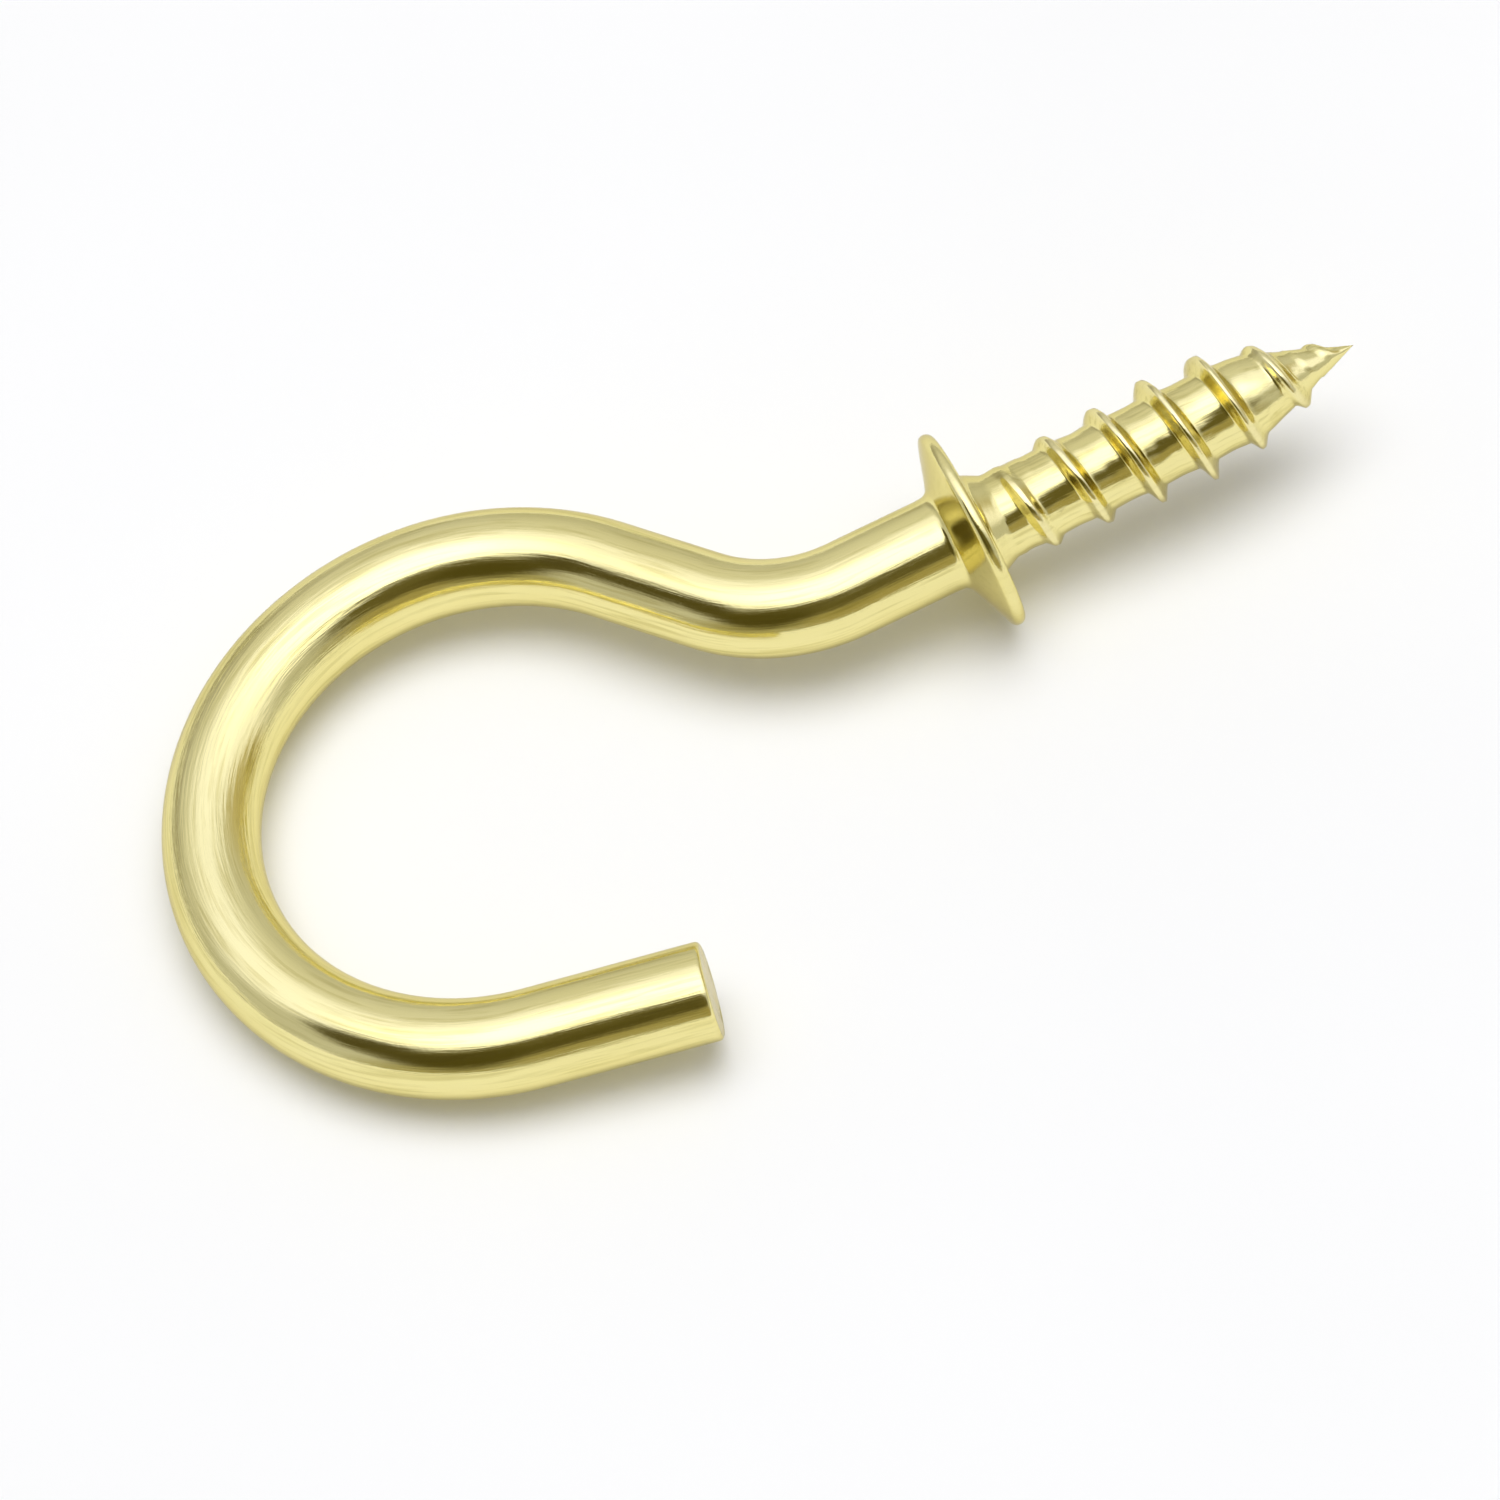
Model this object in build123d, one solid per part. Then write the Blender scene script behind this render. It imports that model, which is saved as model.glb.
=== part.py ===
from build123d import *
from math import atan2, cos, degrees
import os

# Ceiling hook, the screw-in kind with a shoulder, cold formed from one length of wire.
# Millimetres. The origin is the centre of the collar's seating face, on the screw's axis.
# +Z is up, along the screw and into the ceiling. The hook hangs below in the XZ plane,
# and its free end is on the +X side.

# Wire and collar
wire_diameter = 2.9
collar_diameter = 6.2
collar_rim_thickness = 0.4
collar_root_thickness = 1.05
collar_rim_bulge = 0.13
collar_root_round = 0.3

# Hook, along the wire's centre line from the collar to the free end
shank_straight = 3.15
shank_bend_radius = 5.0
shank_bend_angle = 49.5
link_straight = 3.2
bowl_radius = 8.1
bowl_sweep = 217.0
tail_straight = 5.2
cut_end_round = 0.15

# Screw
screw_length = 12.0
core_diameter = 2.6
core_point_length = 3.3
neck_length = 1.1
neck_flare_width = 0.3
neck_flare_length = 0.6
thread_start_diameter = 2.9
thread_rise_length = 5.0
thread_diameter = 3.5
thread_pitch = 1.65
thread_taper_length = 4.3
tip_crest_radius = 0.45
ridge_root_width = 0.62
ridge_crest_width = 0.14
ridge_fade_turns = 0.75
ridge_end_turns = 0.25

# How far the ridge's root and the screw's foot lie inside what they are fused with,
# and how near the axis the ridge's root has come where the ridge ends
root_depth = 0.25
foot_depth = 0.3
last_root_radius = 0.05


def hook_path():
    """Centre line of the bent wire, from the collar's root to the cut end."""
    start = (0, -collar_root_thickness - collar_root_round)
    shank = Line(start, (0, -collar_root_thickness - shank_straight))
    shank_bend = JernArc(shank @ 1, shank % 1, shank_bend_radius, -shank_bend_angle)
    link = Line(shank_bend @ 1, shank_bend @ 1 + (shank_bend % 1) * link_straight)
    bowl = JernArc(link @ 1, link % 1, bowl_radius, bowl_sweep)
    tail = Line(bowl @ 1, bowl @ 1 + (bowl % 1) * tail_straight)
    flat_path = Wire([shank, shank_bend, link, bowl, tail])
    return Plane.XZ * flat_path


def bent_wire():
    """The round wire of the hook, swept along its path, with the cut end's edge eased."""
    path = hook_path()
    section = Plane(origin=path @ 0, z_dir=path % 0) * Circle(wire_diameter / 2)
    wire = sweep(section, path=path)
    cut_face = wire.faces().sort_by_distance(path @ 1)[0]
    return fillet(cut_face.edges(), cut_end_round)


def collar():
    """The upset collar: flat on its seating side, with a cone below that runs into the wire."""
    rim = collar_diameter / 2
    rim_edge = rim - collar_rim_bulge
    root = wire_diameter / 2
    wire_start = -collar_root_thickness - collar_root_round
    barrelled_rim = ThreePointArc(
        (rim_edge, 0),
        (rim, -collar_rim_thickness / 2),
        (rim_edge, -collar_rim_thickness),
    )
    underside = Polyline(
        (rim_edge, -collar_rim_thickness),
        (root, -collar_root_thickness),
        (root, wire_start),
        (0, wire_start),
        (0, 0),
        (rim_edge, 0),
    )
    half_section = make_face([barrelled_rim, underside])
    root_corner = half_section.vertices().sort_by_distance((root, -collar_root_thickness))[0]
    half_section = fillet(root_corner, collar_root_round)
    return revolve(Plane.XZ * half_section, Axis.Z)


def screw_core():
    """The screw without its thread: a neck that flares into the collar, the core and the point."""
    core = core_diameter / 2
    flare = core + neck_flare_width
    outline = Polyline(
        (0, -foot_depth),
        (flare, -foot_depth),
        (flare, 0),
        (core, neck_flare_length),
        (core, screw_length - core_point_length),
        (0, screw_length),
        close=True,
    )
    return revolve(Plane.XZ * make_face(outline), Axis.Z)


def core_radius(height):
    """Radius of the core at a height above the collar."""
    return core_diameter / 2 * min(1, (screw_length - height) / core_point_length)


def crest_radius(height):
    """Radius of the thread's crest: it grows away from the neck and tapers to the tip."""
    full_radius = thread_diameter / 2
    start_radius = thread_start_diameter / 2
    rise = min(1, (height - neck_length) / thread_rise_length)
    taper = min(1, (screw_length - height) / thread_taper_length)
    risen = start_radius + (full_radius - start_radius) * rise
    tapered = tip_crest_radius + (full_radius - tip_crest_radius) * taper
    return min(risen, tapered)


def ridge_stations():
    """Height, root radius and crest radius of the ridge, wherever its taper changes."""
    start = neck_length
    point_share = (root_depth + last_root_radius) / (core_diameter / 2)
    end = screw_length - core_point_length * point_share
    inner_heights = [
        start + ridge_fade_turns * thread_pitch,
        start + thread_rise_length,
        screw_length - thread_taper_length,
        screw_length - core_point_length,
        end - ridge_end_turns * thread_pitch,
    ]
    stations = [(z, core_radius(z) - root_depth, crest_radius(z)) for z in sorted(inner_heights)]
    buried = [(z, core_radius(z) - root_depth, core_radius(z) - root_depth / 2) for z in (start, end)]
    return [buried[0], *stations, buried[1]]


def ridge_edge(start, end, radius_index, shift):
    """One helical edge of the ridge between two stations, shifted along the screw."""
    rise = end[0] - start[0]
    taper = atan2(end[radius_index] - start[radius_index], rise)
    helix = Helix(
        pitch=thread_pitch / cos(taper),
        height=rise,
        radius=start[radius_index],
        center=(0, 0, start[0] + shift),
        cone_angle=degrees(taper),
    )
    return helix.rotate(Axis.Z, 360 * start[0] / thread_pitch)


def thread_ridge():
    """The thread: a narrow right-hand ridge that rises out of the neck and sinks into the point."""
    root_half = ridge_root_width / 2
    crest_half = ridge_crest_width / 2
    corners = [(1, -root_half), (2, -crest_half), (2, crest_half), (1, root_half)]
    stations = ridge_stations()
    faces = []
    for start, end in zip(stations, stations[1:]):
        edges = [ridge_edge(start, end, index, shift) for index, shift in corners]
        for lower, upper in zip(edges, edges[1:] + edges[:1]):
            faces.append(Face.make_surface_from_curves(lower, upper))
        if start is stations[0]:
            faces.append(end_cap(edges, 0))
        if end is stations[-1]:
            faces.append(end_cap(edges, 1))
    return Solid(Shell(faces))


def end_cap(edges, position):
    """The flat face that closes the ridge at one end."""
    return Face(Wire.make_polygon([edge @ position for edge in edges], close=True))


def ceiling_hook():
    """The whole hook as one solid."""
    hook = bent_wire() + collar() + screw_core() + thread_ridge()
    hook.label = "ceiling_hook"
    return hook


os.makedirs("parts", exist_ok=True)
export_step(ceiling_hook(), "parts/ceiling_hook.step")
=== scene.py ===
"""The looks of a ceiling hook: one bright brass plated hook on a pale table.

Units: lengths below are in millimetres in the row's frame and become metres through MM.
The hook stands as it is fixed, with its screw up along +Z. The pale table lies behind it, on
its +Y side, where the hook rests on its collar's rim and on the outside of its bowl.
"""

from math import asin, atan, atan2, ceil, cos, degrees, hypot, pi, radians, sin

import bpy
import numpy as np
from mathutils import Matrix, Vector, noise


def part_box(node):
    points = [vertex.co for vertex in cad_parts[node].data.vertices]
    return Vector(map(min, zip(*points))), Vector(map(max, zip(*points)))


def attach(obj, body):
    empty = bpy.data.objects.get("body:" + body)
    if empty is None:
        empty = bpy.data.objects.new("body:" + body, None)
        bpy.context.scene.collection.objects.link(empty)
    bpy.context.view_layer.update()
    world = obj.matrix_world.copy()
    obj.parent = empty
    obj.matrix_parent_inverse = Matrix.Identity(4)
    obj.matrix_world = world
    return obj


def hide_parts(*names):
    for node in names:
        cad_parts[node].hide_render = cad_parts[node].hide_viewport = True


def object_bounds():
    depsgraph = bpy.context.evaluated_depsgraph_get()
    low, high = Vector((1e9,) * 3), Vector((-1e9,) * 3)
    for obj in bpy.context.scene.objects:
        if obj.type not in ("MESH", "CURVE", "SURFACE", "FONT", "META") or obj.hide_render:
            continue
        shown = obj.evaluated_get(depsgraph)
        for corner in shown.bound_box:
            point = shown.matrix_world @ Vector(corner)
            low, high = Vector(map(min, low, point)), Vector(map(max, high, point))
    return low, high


MM = 0.001
NODE = "ceiling_hook"

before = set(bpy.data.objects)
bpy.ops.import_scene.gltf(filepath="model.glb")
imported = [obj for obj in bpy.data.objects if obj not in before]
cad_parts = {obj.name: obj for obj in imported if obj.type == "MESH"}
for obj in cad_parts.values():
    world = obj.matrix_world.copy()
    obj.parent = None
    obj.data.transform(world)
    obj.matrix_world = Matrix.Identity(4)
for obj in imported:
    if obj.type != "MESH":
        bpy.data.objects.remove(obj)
cad_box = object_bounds()
low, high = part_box(NODE)

# Sizes of the hook, in millimetres. The screw's length and the collar come from the frame.
SCREW_LENGTH = high.z / MM
COLLAR_RADIUS = high.y / MM
WIRE_RADIUS = 1.45
SHANK_STRAIGHT = 3.15
SHANK_BEND_RADIUS = 5
SHANK_BEND_ANGLE = 49.5
LINK_STRAIGHT = 3.2
BOWL_RADIUS = 8.1
BOWL_SWEEP = 217
TAIL_STRAIGHT = 5.2
CORE_RADIUS = 1.3
THREAD_START_RADIUS = 1.45
THREAD_RADIUS = 1.75
PITCH = 1.65
CORE_POINT_LENGTH = 3.3
THREAD_RISE_LENGTH = 5.0
THREAD_TAPER_LENGTH = 4.3
TIP_CREST_RADIUS = 0.45
NECK_LENGTH = 1.1
NECK_FLARE_WIDTH = 0.3
NECK_FLARE_LENGTH = 0.6
RIDGE_ROOT_HALF = 0.33
RIDGE_CREST_HALF = 0.06
RIDGE_START = 0.7
RIDGE_START_FADE = 0.8
RIDGE_END_GAP = 0.45
RIDGE_END_FADE = 1.7
RIDGE_FOOT_FAIRING = 0.35
COLLAR_RIM_THICKNESS = 0.4
COLLAR_RIM_BULGE = 0.13
COLLAR_ROOT_THICKNESS = 1.05
COLLAR_ROOT_ROUND = 0.3
CUT_ROUND = 0.15

# The screw's unevenness: flats hollowed between the ridges, a soft shoulder where the cone
# begins (a share of the core), waves of the core and of the ridge's height (a share, and how
# close they are), the most that a ridge may reach as a share of the thread's radius, and how
# far above the neck's flare all this takes to begin
FLAT_HOLLOW = 0.04
SHOULDER_SOFTNESS = 0.12
CORE_WAVES = [(0.012, 1.6), (0.010, 3.4)]
RIDGE_WAVE = (0.12, 1.6)
WAVES_AROUND_SCREW = 1.1
WAVES_ALONG_SCREW = 0.8
HIGHEST_RIDGE = 1.02
NECK_SETTLING = 0.6

# The collar's unevenness: its rim droops a little, more on one side, and isn't quite round
COLLAR_DROOP = 0.08
COLLAR_LEAN = 0.09
COLLAR_LEAN_SIDE = 212
COLLAR_OUT_OF_ROUND = 0.012

# The wire's waves, and the torn face at its cut end: their depth, and how close they are
WIRE_WAVE = 0.012
WAVES_AROUND_WIRE = 0.9
WAVES_ALONG_WIRE = 0.16
TORN_DEPTH = 0.02
TORN_CLOSENESS = 1.7

# The stretch of the bowl that the bending tool marked, and how gently the mark begins, as
# shares of the bowl's length
MARKED_FROM = 0.20
MARKED_TO = 0.80
MARK_FADE = 0.2

# How far pressing has smoothed out the drawing lines
PRESSED_COLLAR = 1.0
PRESSED_CUT_END = 0.7

# Stretches of the bent wire from the collar to the cut end: length and turn in degrees
WIRE_STRETCHES = [
    (SHANK_STRAIGHT, 0),
    (SHANK_BEND_RADIUS * radians(SHANK_BEND_ANGLE), -SHANK_BEND_ANGLE),
    (LINK_STRAIGHT, 0),
    (BOWL_RADIUS * radians(BOWL_SWEEP), BOWL_SWEEP),
    (TAIL_STRAIGHT, 0),
]

# How fine the mesh is, and how near rows may come to the neck's ring, the tip and the collar
AROUND = 96
WIRE_STEP = 0.2
NECK_GAP = 0.01
TIP_GAP = 0.02
COLLAR_GAP = COLLAR_ROOT_ROUND * 1.2


# ---------------------------------------------------------------- geometry


def smooth_step(share):
    """0 to 1 with level ends."""
    share = min(1, max(0, share))
    return share * share * (3 - 2 * share)


def wire_stations():
    """Centre, turn angle and length run along the bent wire, from the collar to the cut end."""
    x, z, angle, run = 0.0, -COLLAR_ROOT_THICKNESS, 0.0, 0.0
    stations = []
    for length, turn in WIRE_STRETCHES:
        steps = ceil(length / WIRE_STEP)
        half_turn = radians(turn) / steps / 2
        chord = length / steps * (sin(half_turn) / half_turn if half_turn else 1)
        for _ in range(steps):
            angle += half_turn
            x += chord * sin(angle)
            z -= chord * cos(angle)
            angle += half_turn
            run += length / steps
            stations.append((x, z, angle, run))
    return stations


def ring(x, z, angle, radii):
    """A ring of points square to the wire, where the wire has turned by angle."""
    points = []
    for k, radius in enumerate(radii):
        phi = 2 * pi * k / AROUND
        across = radius * cos(phi)
        points.append((x + across * cos(angle), radius * sin(phi), z + across * sin(angle)))
    return points


def arc_points(centre_r, centre_z, radius, start, end, steps):
    """Points (r, z) of an arc about (centre_r, centre_z), with angles in degrees."""
    points = []
    for i in range(steps + 1):
        a = radians(start + (end - start) * i / steps)
        points.append((centre_r + radius * cos(a), centre_z + radius * sin(a)))
    return points


def collar_profile():
    """(r, z) from the neck over the seating face, the rim and the underside to the wire."""
    flare = CORE_RADIUS + NECK_FLARE_WIDTH
    rim_edge = COLLAR_RADIUS - COLLAR_RIM_BULGE
    half = COLLAR_RIM_THICKNESS / 2
    rim_radius = (half**2 + COLLAR_RIM_BULGE**2) / (2 * COLLAR_RIM_BULGE)
    rim_angle = degrees(asin(half / rim_radius))
    points = []
    for share in (0, 0.25, 0.5, 0.75):
        points.append((CORE_RADIUS + NECK_FLARE_WIDTH * share, NECK_FLARE_LENGTH * (1 - share)))
    for share in (0, 0.2, 0.4, 0.6, 0.8, 0.95):
        points.append((flare + (rim_edge - flare) * share, 0))
    points += arc_points(COLLAR_RADIUS - rim_radius, -half, rim_radius, rim_angle, -rim_angle, 12)
    root_r = WIRE_RADIUS + COLLAR_ROOT_ROUND
    slope = (COLLAR_ROOT_THICKNESS - COLLAR_RIM_THICKNESS) / (rim_edge - WIRE_RADIUS)
    for share in (0.1, 0.3, 0.5, 0.7, 0.9):
        r = rim_edge + (root_r - rim_edge) * share
        points.append((r, -COLLAR_RIM_THICKNESS - slope * (rim_edge - r)))
    tilt = degrees(atan(slope))
    root_z = -COLLAR_RIM_THICKNESS - slope * (rim_edge - root_r)
    root_z -= COLLAR_ROOT_ROUND / cos(radians(tilt))
    points += arc_points(root_r, root_z, COLLAR_ROOT_ROUND, 90 + tilt, 180, 7)
    return points


def core_radius(z):
    """Radius of the screw's core: even, then a soft shoulder and a cone to the tip."""
    share = (SCREW_LENGTH - z) / CORE_POINT_LENGTH
    softened = (1 + share - hypot(1 - share, SHOULDER_SOFTNESS)) / 2
    return CORE_RADIUS * max(0, softened)


def crest_radius(z):
    """Radius of the thread's crest: it grows away from the neck and tapers to the tip."""
    rise = min(1, (z - NECK_LENGTH) / THREAD_RISE_LENGTH)
    taper = min(1, (SCREW_LENGTH - z) / THREAD_TAPER_LENGTH)
    risen = THREAD_START_RADIUS + (THREAD_RADIUS - THREAD_START_RADIUS) * rise
    tapered = TIP_CREST_RADIUS + (THREAD_RADIUS - TIP_CREST_RADIUS) * taper
    return min(risen, tapered)


def ridge_offsets():
    """Heights across one pitch, from midway below a ridge to midway above it."""
    half = PITCH / 2
    flank = [0, 0.08, 0.18, 0.32, 0.5, 0.68, 0.82, 0.92, 1]
    lower_flank = [-RIDGE_ROOT_HALF + (RIDGE_ROOT_HALF - RIDGE_CREST_HALF) * t for t in flank]
    upper_flank = [-offset for offset in reversed(lower_flank)]
    lower_flat = [-half + (half - RIDGE_ROOT_HALF) * t for t in (0, 0.2, 0.4, 0.6, 0.8)]
    upper_flat = [-offset for offset in reversed(lower_flat[1:])]
    return lower_flat + lower_flank + [0] + upper_flank + upper_flat


def ridge_share(offset):
    """Height of the ridge at an offset from its middle, as a share of its full height."""
    flank = (RIDGE_ROOT_HALF - abs(offset)) / (RIDGE_ROOT_HALF - RIDGE_CREST_HALF)
    flank = min(1, max(0, flank))
    faired = RIDGE_FOOT_FAIRING
    return faired * flank**2 + (1 - faired) * smooth_step(flank)


def screw_radius(z, phi, offset):
    """Radius of the screw's surface and how far up the ridge it is."""
    middle = z - offset
    settled = smooth_step((z - NECK_FLARE_LENGTH) / NECK_SETTLING)
    fade = smooth_step((middle - RIDGE_START) / RIDGE_START_FADE) * settled
    fade *= smooth_step((SCREW_LENGTH - RIDGE_END_GAP - middle) / RIDGE_END_FADE)
    around = WAVES_AROUND_SCREW
    where = Vector((cos(phi) * around, sin(phi) * around, z * WAVES_ALONG_SCREW))
    waves = sum(share * noise.noise(where * closeness) for share, closeness in CORE_WAVES)
    core = core_radius(z) * (1 + waves * settled)
    core -= FLAT_HOLLOW * fade * (1 + cos(2 * pi * offset / PITCH + pi)) / 2
    wave, closeness = RIDGE_WAVE
    uneven = 1 + wave * noise.noise(where * closeness)
    height = max(0, crest_radius(z) - core_radius(z)) * uneven * fade
    share = ridge_share(offset)
    return min(THREAD_RADIUS * HIGHEST_RIDGE, core + height * share), share * fade


class Grid:
    """Points and faces of the hook's one closed surface, with what its material reads."""

    def __init__(self):
        self.points = []
        self.straight = []
        self.ridge = []
        self.strain = []
        self.pressed = []
        self.faces = []

    def add(self, point, straight, ridge=0.0, strain=0.0, pressed=0.0):
        """A point. Straight is where it would be if the wire weren't bent."""
        self.points.append(point)
        self.straight.append(straight)
        self.ridge.append(ridge)
        self.strain.append(strain)
        self.pressed.append(pressed)
        return len(self.points) - 1

    def add_ring(self, points, radii, run, strain=0.0, pressed=0.0):
        """A ring of points at a length run along the wire from the tip."""
        row = []
        for k, (point, radius) in enumerate(zip(points, radii)):
            phi = 2 * pi * k / AROUND
            straight = (radius * cos(phi), radius * sin(phi), run)
            row.append(self.add(point, straight, 0.0, strain, pressed))
        return row

    def add_face(self, *corners):
        """A face, unless its corners have run together."""
        kept = [c for i, c in enumerate(corners) if c != corners[i - 1]]
        if len(set(kept)) >= 3:
            self.faces.append(kept)

    def join(self, upper, lower):
        """Faces between two rings, the upper one being nearer to the screw's tip."""
        for k in range(AROUND):
            after = (k + 1) % AROUND
            self.add_face(upper[k], lower[k], lower[after], upper[after])


def add_screw(grid, neck_ring):
    """The screw above the neck's ring, as rows that climb with the thread to the tip."""
    offsets = ridge_offsets()
    per_turn = len(offsets)
    turns = ceil(SCREW_LENGTH / PITCH) + 2
    apex = grid.add((0, 0, SCREW_LENGTH), (0, 0, 0))
    rows = []
    for m in range(-per_turn, turns * per_turn):
        turn, station = divmod(m, per_turn)
        offset = offsets[station]
        row = []
        for k in range(AROUND):
            phi = 2 * pi * k / AROUND
            z = PITCH * (turn + k / AROUND) + offset
            if z <= NECK_FLARE_LENGTH + NECK_GAP:
                row.append(neck_ring[k])
            elif z >= SCREW_LENGTH - TIP_GAP:
                row.append(apex)
            else:
                r, ridge = screw_radius(z, phi, offset)
                x, y = r * cos(phi), r * sin(phi)
                row.append(grid.add((x, y, z), (x, y, SCREW_LENGTH - z), ridge))
        rows.append(row)
    for m in range(len(rows) - per_turn - 1):
        lower, upper = rows[m], rows[m + 1]
        for k in range(AROUND - 1):
            grid.add_face(upper[k], lower[k], lower[k + 1], upper[k + 1])
        seam_lower, seam_upper = rows[m + per_turn][0], rows[m + 1 + per_turn][0]
        grid.add_face(upper[-1], lower[-1], seam_lower, seam_upper)


def droop(x, y, z):
    """A point of the collar, lowered as the uneven upsetting left it."""
    share = smooth_step((hypot(x, y) - WIRE_RADIUS) / (COLLAR_RADIUS - WIRE_RADIUS))
    lean = COLLAR_LEAN * cos(atan2(y, x) - radians(COLLAR_LEAN_SIDE))
    return x, y, z - share * (COLLAR_DROOP + lean)


def add_collar(grid):
    """The neck's flare and the collar. Returns the first and the last ring."""
    rings = []
    for r, z in collar_profile():
        out = (r / COLLAR_RADIUS) ** 3
        radii = []
        for k in range(AROUND):
            phi = 2 * pi * k / AROUND
            wave = 0.5 + 0.3 * sin(2 * phi + 0.6) + 0.2 * sin(5 * phi + 2.0)
            radii.append(r * (1 - COLLAR_OUT_OF_ROUND * out * wave))
        points = [droop(*point) for point in ring(0, z, 0, radii)]
        rings.append(grid.add_ring(points, radii, SCREW_LENGTH - z, pressed=PRESSED_COLLAR))
    for upper, lower in zip(rings, rings[1:]):
        grid.join(upper, lower)
    return rings[0], rings[-1]


def wire_radii(run):
    """The wire's radius all round, with the faint flats that drawing and bending leave."""
    around = WAVES_AROUND_WIRE
    radii = []
    for k in range(AROUND):
        phi = 2 * pi * k / AROUND
        where = (cos(phi) * around, sin(phi) * around, run * WAVES_ALONG_WIRE)
        waviness = noise.noise(Vector(where))
        radii.append(WIRE_RADIUS - WIRE_WAVE + WIRE_WAVE * waviness)
    return radii


def bend_strain(run):
    """How much the bending tool marked the wire at a length along it: 1 midway round the bowl."""
    before = sum(length for length, _ in WIRE_STRETCHES[:3])
    share = (run - before) / WIRE_STRETCHES[3][0]
    begun = smooth_step((share - MARKED_FROM) / MARK_FADE)
    return begun * smooth_step((MARKED_TO - share) / MARK_FADE)


def add_wire(grid, collar_ring):
    """The bent wire from the collar to the cut end."""
    upper = collar_ring
    stations = wire_stations()
    base_run = SCREW_LENGTH + COLLAR_ROOT_THICKNESS
    whole = stations[-1][3]
    for x, z, angle, run in stations:
        if whole - run < CUT_ROUND or run < COLLAR_GAP:
            continue
        radii = wire_radii(run)
        points = ring(x, z, angle, radii)
        lower = grid.add_ring(points, radii, base_run + run, bend_strain(run))
        grid.join(upper, lower)
        upper = lower
    return upper, stations[-1], base_run


def cut_end_profile():
    """Share of the wire's radius and distance back from the cut, from the edge inward."""
    profile = []
    for i in range(1, 6):
        a = pi / 2 * i / 5
        profile.append((1 - CUT_ROUND * (1 - cos(a)) / WIRE_RADIUS, CUT_ROUND * (1 - sin(a))))
    inner = 1 - CUT_ROUND / WIRE_RADIUS
    for share in (0.93, 0.85, 0.75, 0.63, 0.5, 0.37, 0.24, 0.12):
        profile.append((inner * share, 0.0))
    return profile


def add_cut_end(grid, last_ring, end, base_run):
    """The cut end: a small round on its edge, then a flat, faintly torn face."""
    x, z, angle, run = end
    upper = last_ring
    base = wire_radii(run)
    for share, back in cut_end_profile():
        radii = [radius * share for radius in base]
        points = []
        for k, (px, py, pz) in enumerate(ring(x, z, angle, radii)):
            torn = 0.0
            if back == 0.0:
                close = TORN_CLOSENESS
                roughly = noise.noise(Vector((px * close, py * close, pz * close)))
                torn = TORN_DEPTH + TORN_DEPTH * roughly
            set_back = back + torn
            points.append((px - set_back * sin(angle), py, pz + set_back * cos(angle)))
        lower = grid.add_ring(points, radii, base_run + run, pressed=PRESSED_CUT_END)
        grid.join(upper, lower)
        upper = lower
    middle = (x - TORN_DEPTH * sin(angle), 0, z + TORN_DEPTH * cos(angle))
    centre = grid.add(middle, (0, 0, base_run + run), pressed=PRESSED_CUT_END)
    for k in range(AROUND):
        grid.add_face(upper[k], centre, upper[(k + 1) % AROUND])


def hook_mesh():
    """The whole hook as one closed mesh in metres."""
    grid = Grid()
    neck_ring, collar_ring = add_collar(grid)
    add_screw(grid, neck_ring)
    last_ring, end, base_run = add_wire(grid, collar_ring)
    add_cut_end(grid, last_ring, end, base_run)
    mesh = bpy.data.meshes.new("plated_hook")
    mesh.from_pydata([tuple(c * MM for c in p) for p in grid.points], [], grid.faces)
    straight = mesh.attributes.new("straight", "FLOAT_VECTOR", "POINT")
    straight.data.foreach_set("vector", np.array(grid.straight, np.float32).ravel())
    for name in ("ridge", "strain", "pressed"):
        attribute = mesh.attributes.new(name, "FLOAT", "POINT")
        attribute.data.foreach_set("value", np.array(getattr(grid, name), np.float32))
    mesh.polygons.foreach_set("use_smooth", [True] * len(mesh.polygons))
    mesh.validate()
    mesh.update()
    return mesh


# ---------------------------------------------------------------- materials

# The plating's colours: from deeper to paler in clouds, in the drawing lines, paler towards
# the crest of the thread's ridge, and the tint that its reflections take at a grazing view
DEEPER_GOLD = (0.84, 0.75, 0.31)
PALER_GOLD = (0.90, 0.82, 0.39)
LINE_GOLD = (0.56, 0.48, 0.14, 1)
CREST_GOLD = (0.88, 0.80, 0.42, 1)
EDGE_TINT = (0.72, 0.68, 0.54, 1)

# The plating's roughness: in the lines and between them, in specks, and where it was strained,
# which counts for a share only
LINE_ROUGHNESS = 0.16
BRIGHT_ROUGHNESS = 0.09
SPECK_ROUGHNESS = 0.22
SATIN_ROUGHNESS = 0.24
SATIN_SHARE = 0.3

# How much higher the drawing lines stand where the wire was strained, and how much lower and
# fainter they are where it was pressed
STRAINED_LINES = 5.0
PRESSED_LINES = -0.75
PRESSED_LINE_COLOUR = -0.7

# Strength of each layer of relief, and its distance in millimetres
LINE_RELIEF = (0.14, 0.05)
FINE_RELIEF = (0.14, 0.012)
SPECKLE_RELIEF = (0.12, 0.01)


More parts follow.
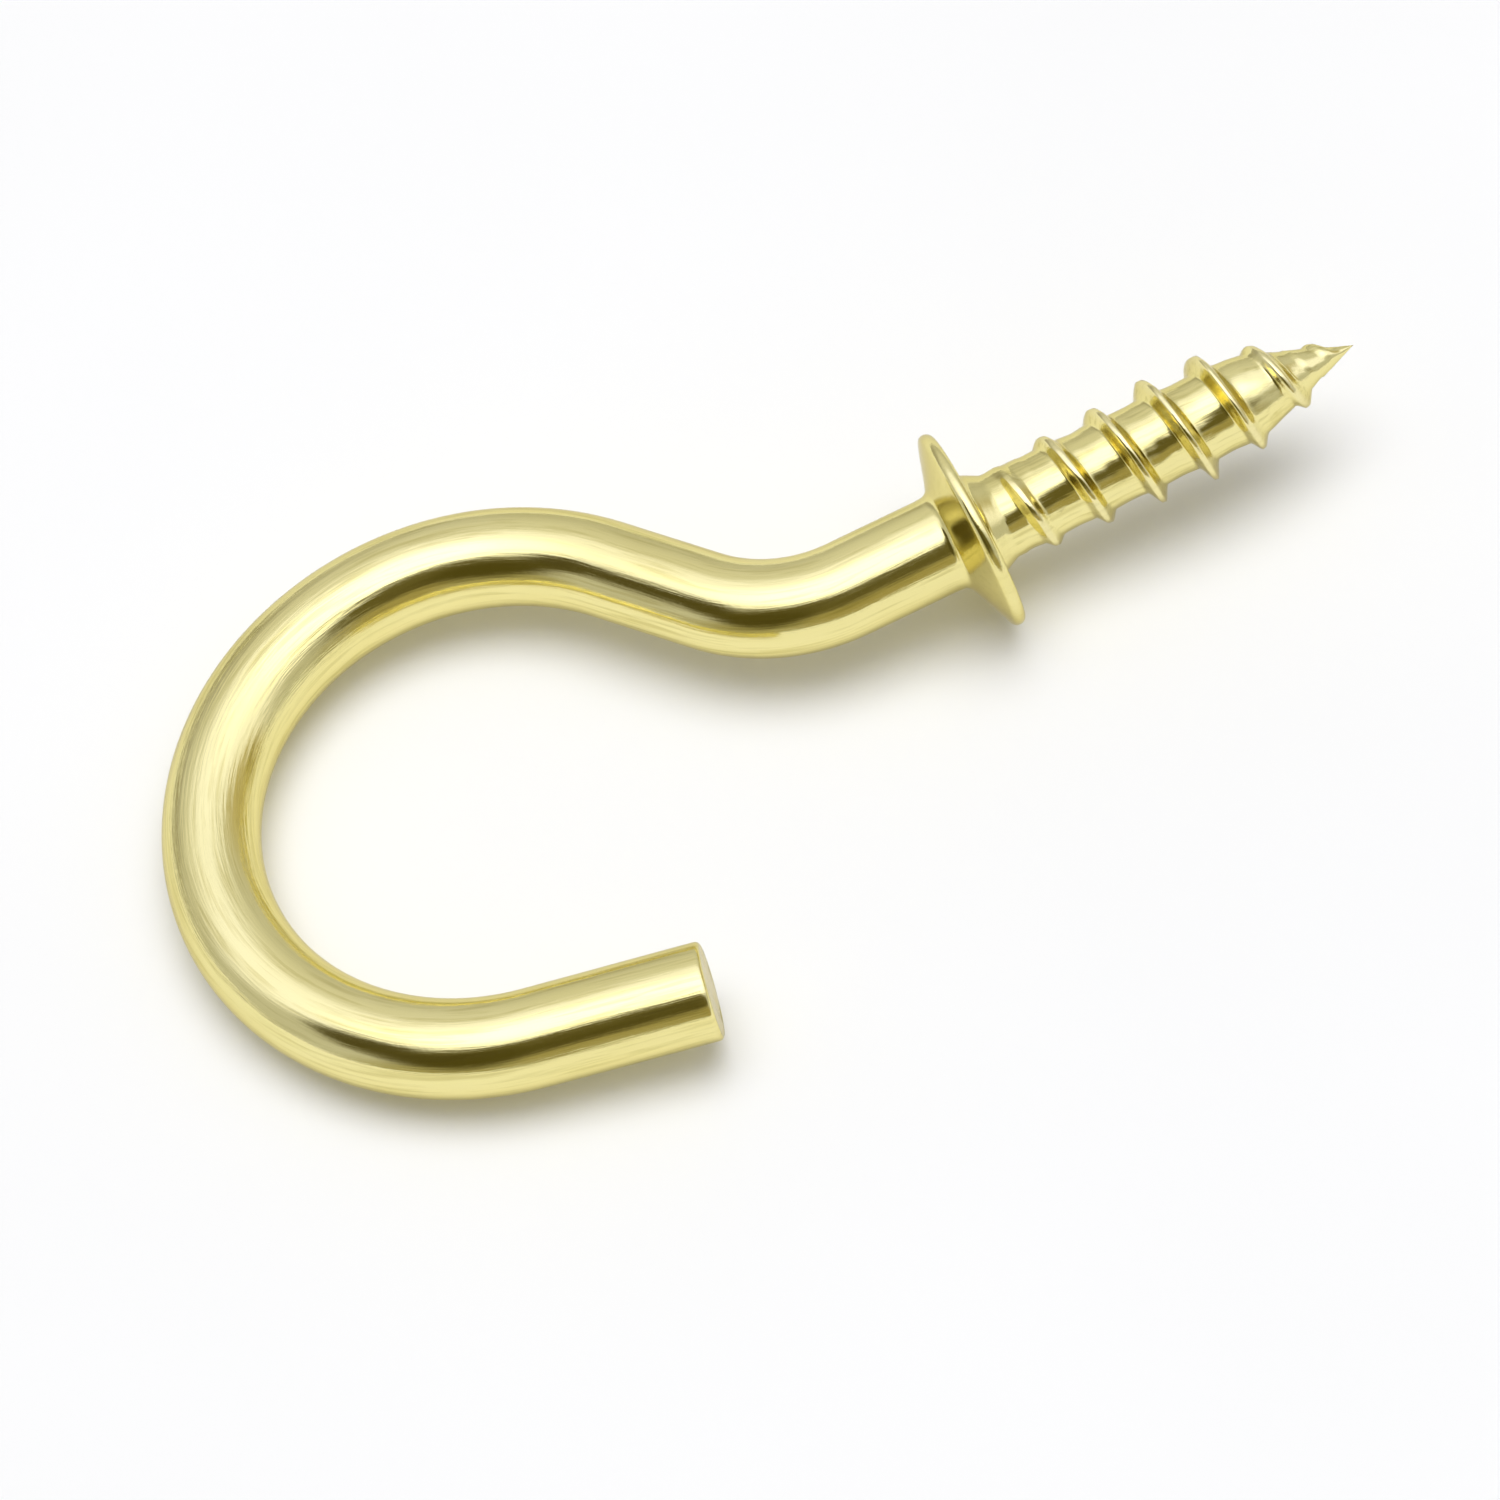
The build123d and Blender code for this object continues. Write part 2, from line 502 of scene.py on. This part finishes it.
class Nodes:
    """Small helper that adds and links shader nodes."""

    def __init__(self, tree):
        self.tree = tree
        tree.nodes.clear()

    def add(self, kind, inputs=(), **settings):
        """A node with values or links on its inputs."""
        node = self.tree.nodes.new(kind)
        for name, value in settings.items():
            setattr(node, name, value)
        for name, value in dict(inputs).items():
            if isinstance(value, bpy.types.NodeSocket):
                self.tree.links.new(value, node.inputs[name])
            else:
                node.inputs[name].default_value = value
        return node

    def ramp(self, factor, stops):
        """A colour that goes with a factor, from the first of two stops to the second."""
        node = self.add("ShaderNodeValToRGB", {"Fac": factor})
        for element, (position, colour) in zip(node.color_ramp.elements, stops):
            element.position = position
            element.color = (*colour, 1)
        return node.outputs["Color"]

    def math(self, operation, first, second=0.0, third=0.0):
        node = self.add("ShaderNodeMath", {0: first, 1: second, 2: third}, operation=operation)
        return node.outputs[0]

    def mix(self, factor, first, second):
        """The first colour where the factor is 0 and the second where it is 1."""
        inputs = {0: factor, 6: first, 7: second}
        return self.add("ShaderNodeMix", inputs, data_type="RGBA").outputs[2]

    def noise(self, vector, scale, detail, roughness):
        inputs = {"Vector": vector, "Scale": scale, "Detail": detail, "Roughness": roughness}
        return self.add("ShaderNodeTexNoise", inputs).outputs["Fac"]

    def attribute(self, name, output):
        """What the mesh keeps under a name."""
        return self.add("ShaderNodeAttribute", attribute_name=name).outputs[output]

    def stretch(self, vector, scale):
        """A pattern's coordinates, scaled along each axis."""
        node = self.add("ShaderNodeMapping", {"Vector": vector, "Scale": scale})
        return node.outputs["Vector"]


def grey(value):
    """A colour without a tint."""
    return (value, value, value)


def brass_colour(nodes, cloud, line_depth, ridge):
    """Pale lemon gold in soft clouds, deeper in the drawing lines, paler towards the ridge's
    crest.
    """
    colour = nodes.ramp(cloud, [(0.30, DEEPER_GOLD), (0.70, PALER_GOLD)])
    colour = nodes.mix(line_depth, colour, LINE_GOLD)
    # Paler towards the crest of the thread's ridge
    worn = nodes.ramp(ridge, [(0.55, grey(0)), (1.0, grey(0.7))])
    return nodes.mix(worn, colour, CREST_GOLD)


def brass_roughness(nodes, lines, speckle, strain):
    """Bright, with duller lines and specks, and more satin where the wire was bent hardest."""
    rough = nodes.ramp(lines, [(0.3, grey(LINE_ROUGHNESS)), (0.7, grey(BRIGHT_ROUGHNESS))])
    specks = nodes.ramp(speckle, [(0.5, grey(0)), (0.8, grey(0.5))])
    rough = nodes.mix(specks, rough, (*grey(SPECK_ROUGHNESS), 1))
    satin = nodes.math("MULTIPLY", strain, SATIN_SHARE)
    return nodes.mix(satin, rough, (*grey(SATIN_ROUGHNESS), 1))


def relief(nodes, layers):
    """Normal of a surface with layers of relief: height, then strength and distance."""
    normal = None
    for height, (strength, distance) in layers:
        inputs = {"Height": height, "Strength": strength, "Distance": distance * MM}
        if normal:
            inputs["Normal"] = normal
        normal = nodes.add("ShaderNodeBump", inputs).outputs["Normal"]
    return normal


def brass_material():
    """Bright brass plating with drawing lines along the wire, read from the mesh's attributes."""
    material = bpy.data.materials.new("bright_brass_plating")
    material.use_nodes = True
    nodes = Nodes(material.node_tree)
    straight = nodes.attribute("straight", "Vector")
    ridge = nodes.attribute("ridge", "Fac")
    strain = nodes.attribute("strain", "Fac")
    pressed = nodes.attribute("pressed", "Fac")
    along = nodes.stretch(straight, (1.0, 1.0, 0.05))

    cloud = nodes.noise(nodes.stretch(straight, (0.35, 0.35, 0.12)), 1.0, 3.0, 0.55)
    lines = nodes.noise(along, 5.0, 4.0, 0.6)
    fine = nodes.noise(along, 16.0, 3.0, 0.6)
    speckle = nodes.noise(straight, 9.0, 3.0, 0.6)

    line_depth = nodes.ramp(lines, [(0.33, grey(0.5)), (0.5, grey(0.0))])
    line_share = nodes.math("MULTIPLY_ADD", pressed, PRESSED_LINE_COLOUR, 1.0)
    line_depth = nodes.math("MULTIPLY", line_depth, line_share)
    line_height = nodes.math("MULTIPLY_ADD", strain, STRAINED_LINES, 1.0)
    line_height = nodes.math("MULTIPLY_ADD", pressed, PRESSED_LINES, line_height)
    line_height = nodes.math("MULTIPLY", lines, line_height)
    layers = [(line_height, LINE_RELIEF), (fine, FINE_RELIEF), (speckle, SPECKLE_RELIEF)]

    inputs = {
        "Base Color": brass_colour(nodes, cloud, line_depth, ridge),
        "Roughness": brass_roughness(nodes, lines, speckle, strain),
        "Metallic": 1.0,
        "Specular Tint": EDGE_TINT,
        "Normal": relief(nodes, layers),
    }
    shader = nodes.add("ShaderNodeBsdfPrincipled", inputs)
    nodes.add("ShaderNodeOutputMaterial", {"Surface": shader.outputs["BSDF"]})
    return material


# ---------------------------------------------------------------- view, table and light

# The camera: its angles in degrees about the hook, its distance and its focal length in
# millimetres, and the point it aims at, from the middle of the hook's box
VIEW_AZIMUTH = 32.3
VIEW_ELEVATION = -2.5
VIEW_ROLL = -64.2
VIEW_DISTANCE = 235.6
LENS = 198.3
AIM_OFFSET = (1.97, 0, -1.97)

# Half the table's width in metres, its greys, and how much of its shadow is filled with its
# own colour where the metal mirrors it
TABLE_HALF = 0.6
TABLE_GREYS = (0.95, 0.97)
PALE_IN_METAL = 0.25


def view_axes():
    """Right, up and forward of the camera."""
    a, e, roll = radians(VIEW_AZIMUTH), radians(VIEW_ELEVATION), radians(VIEW_ROLL)
    forward = Vector((-sin(a) * cos(e), cos(a) * cos(e), -sin(e)))
    level = forward.cross(Vector((0, 0, 1))).normalized()
    upright = level.cross(forward)
    right = cos(roll) * level - sin(roll) * upright
    up = cos(roll) * upright + sin(roll) * level
    return right, up, forward


def add_camera():
    """A long-lens camera that looks down on the hook as it lies on the table."""
    right, up, forward = view_axes()
    aim = (Vector(cad_box[0]) + Vector(cad_box[1])) / 2 + Vector(AIM_OFFSET) * MM
    data = bpy.data.cameras.new("camera")
    data.lens = LENS
    data.clip_start = 0.001
    camera = bpy.data.objects.new("camera", data)
    matrix = Matrix((right, up, -forward)).transposed().to_4x4()
    matrix.translation = aim - forward * VIEW_DISTANCE * MM
    camera.matrix_world = matrix
    bpy.context.scene.collection.objects.link(camera)
    bpy.context.scene.camera = camera


def table_axes():
    """A point of the table, and its axes as the camera sees them: right, away and out."""
    rise = (high.y - WIRE_RADIUS * MM) / -low.z
    out = Vector((0, -1, rise)).normalized()
    right, _, _ = view_axes()
    across = (right - right.dot(out) * out).normalized()
    away = out.cross(across)
    return Vector((0, high.y, 0)), across, away, out


def table_material():
    """Matt white table, seen from its front only. Its shadow is softened in the metal."""
    material = bpy.data.materials.new("white_table")
    material.use_nodes = True
    material.cycles.emission_sampling = "NONE"
    nodes = Nodes(material.node_tree)
    paper = nodes.add("ShaderNodeTexCoord").outputs["Object"]
    grain = nodes.noise(paper, 40.0, 2.0, 0.5)
    darker, lighter = TABLE_GREYS
    colour = nodes.ramp(grain, [(0.3, grey(darker)), (0.7, grey(lighter))])
    matt = nodes.add("ShaderNodeBsdfDiffuse", {"Color": colour}).outputs[0]
    pale = nodes.add("ShaderNodeEmission", {"Color": colour, "Strength": 1.0}).outputs[0]
    glossy = nodes.add("ShaderNodeLightPath").outputs["Is Glossy Ray"]
    in_metal = nodes.math("MULTIPLY", glossy, PALE_IN_METAL)
    front = nodes.add("ShaderNodeMixShader", {0: in_metal, 1: matt, 2: pale}).outputs[0]
    clear = nodes.add("ShaderNodeBsdfTransparent").outputs[0]
    back = nodes.add("ShaderNodeNewGeometry").outputs["Backfacing"]
    shader = nodes.add("ShaderNodeMixShader", {0: back, 1: front, 2: clear}).outputs[0]
    nodes.add("ShaderNodeOutputMaterial", {"Surface": shader})
    return material


def add_table():
    """The table that the hook lies on: it touches the collar's rim and the bowl."""
    point, across, away, _ = table_axes()
    half = TABLE_HALF
    corners = [(-half, -half), (half, -half), (half, half), (-half, half)]
    mesh = bpy.data.meshes.new("table")
    mesh.from_pydata([point + across * x + away * y for x, y in corners], [], [(0, 1, 2, 3)])
    mesh.materials.append(table_material())
    table = bpy.data.objects.new("table", mesh)
    bpy.context.scene.collection.objects.link(table)


# The plain room: at the table's level, overhead, and behind the table
ROOM_LEVEL = (0.58, 0.58, 0.60)
ROOM_OVERHEAD = (0.60, 0.60, 0.62)
ROOM_BEHIND = (1.0, 1.0, 1.02)

# Ovals of the sky about the table's normal: centre away and across, then reach away and across,
# all in degrees, the softness of the edge as a share of the reach, and the light inside. Each
# one lies over those before it.
SKY_PATCHES = [
    # The room's paler far side, and its darker right and far left
    ((20, -12, 48, 45, 0.4), (0.75, 0.75, 0.78)),
    ((45, 66, 45, 30, 0.5), (0.55, 0.48, 0.29)),
    ((86, -55, 30, 28, 0.4), (0.43, 0.42, 0.41)),
    # The broad light overhead, and its bright middle
    ((3, 6, 34, 63, 0.25), (1.15, 1.17, 1.45)),
    ((-6, 4, 21, 28, 0.5), (2.3, 2.3, 2.35)),
    # Gold low down on the near side, where the rest of the heap would be
    ((-76, 20, 16, 32, 0.5), (0.38, 0.33, 0.15)),
    ((-86, -20, 18, 24, 0.5), (0.40, 0.37, 0.22)),
    # The dark band on the near side, which the metal shows as a streak
    ((-49.5, 0, 17, 45, 0.3), (0.13, 0.11, 0.035)),
    ((-60, -16, 19, 20, 0.35), (0.085, 0.07, 0.015)),
    ((-33, -37, 18.5, 12.5, 0.3), (0.085, 0.07, 0.015)),
]

# The matt table takes the same light more from the middle, which keeps the hook's shadow
TABLE_LIGHT = ((4, 4, 20, 26, 0.4), (5.4, 5.4, 5.3))
TABLE_FILL = 0.31


def toward(nodes, direction, axis):
    """How far a direction points along an axis, from -1 to 1."""
    inputs = {0: direction, 1: axis}
    return nodes.add("ShaderNodeVectorMath", inputs, operation="DOT_PRODUCT").outputs["Value"]


def oval_patch(nodes, angles, oval):
    """1 inside an oval patch of the sky, falling to 0 over its soft edge."""
    *centres_and_reaches, edge = oval
    centres, reaches = centres_and_reaches[:2], centres_and_reaches[2:]
    squares = []
    for angle, centre, reach in zip(angles, centres, reaches):
        offset = nodes.math("SUBTRACT", angle, radians(centre))
        offset = nodes.math("DIVIDE", offset, radians(reach))
        squares.append(nodes.math("MULTIPLY", offset, offset))
    distance = nodes.math("SQRT", nodes.math("ADD", *squares))
    inputs = {"Value": distance, "From Min": 1 + edge, "From Max": 1 - edge}
    node = nodes.add("ShaderNodeMapRange", inputs, interpolation_type="SMOOTHSTEP")
    return node.outputs["Result"]


def studio_light(nodes, angles, facing):
    """The studio as the metal mirrors it: a plain room with the patches over it."""
    light = nodes.ramp(facing, [(0.0, ROOM_LEVEL), (0.6, ROOM_OVERHEAD)])
    behind = nodes.math("MULTIPLY", facing, -1.0)
    behind = nodes.ramp(behind, [(0.15, grey(0)), (0.9, grey(1))])
    light = nodes.mix(behind, light, (*ROOM_BEHIND, 1))
    for oval, colour in SKY_PATCHES:
        light = nodes.mix(oval_patch(nodes, angles, oval), light, (*colour, 1))
    return light


def add_world():
    """A plain soft studio: a broad soft light over the table, and the dim side of the viewer."""
    _, across, away, out = table_axes()
    world = bpy.data.worlds.new("studio")
    world.use_nodes = True
    bpy.context.scene.world = world
    nodes = Nodes(world.node_tree)
    direction = nodes.add("ShaderNodeTexCoord").outputs["Generated"]
    facing = toward(nodes, direction, out)
    angle_away = nodes.math("ARCTAN2", toward(nodes, direction, away), facing)
    angle_across = nodes.math("ARCSINE", toward(nodes, direction, across))
    angles = (angle_away, angle_across)

    light = studio_light(nodes, angles, facing)
    oval, colour = TABLE_LIGHT
    inside = oval_patch(nodes, angles, oval)
    on_table = nodes.mix(inside, (*grey(TABLE_FILL), 1), (*colour, 1))
    rays = nodes.add("ShaderNodeLightPath")
    light = nodes.mix(rays.outputs["Is Diffuse Ray"], light, on_table)
    seen = nodes.mix(rays.outputs["Is Camera Ray"], light, (1, 1, 1, 1))
    background = nodes.add("ShaderNodeBackground", {"Color": seen, "Strength": 1.0})
    nodes.add("ShaderNodeOutputWorld", {"Surface": background.outputs[0]})


# ---------------------------------------------------------------- the scene

hook = bpy.data.objects.new("plated_hook", hook_mesh())
hook.data.materials.append(brass_material())
bpy.context.scene.collection.objects.link(hook)
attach(hook, "root")
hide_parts(NODE)

add_camera()
add_table()
add_world()
bpy.context.scene.view_settings.view_transform = "Standard"
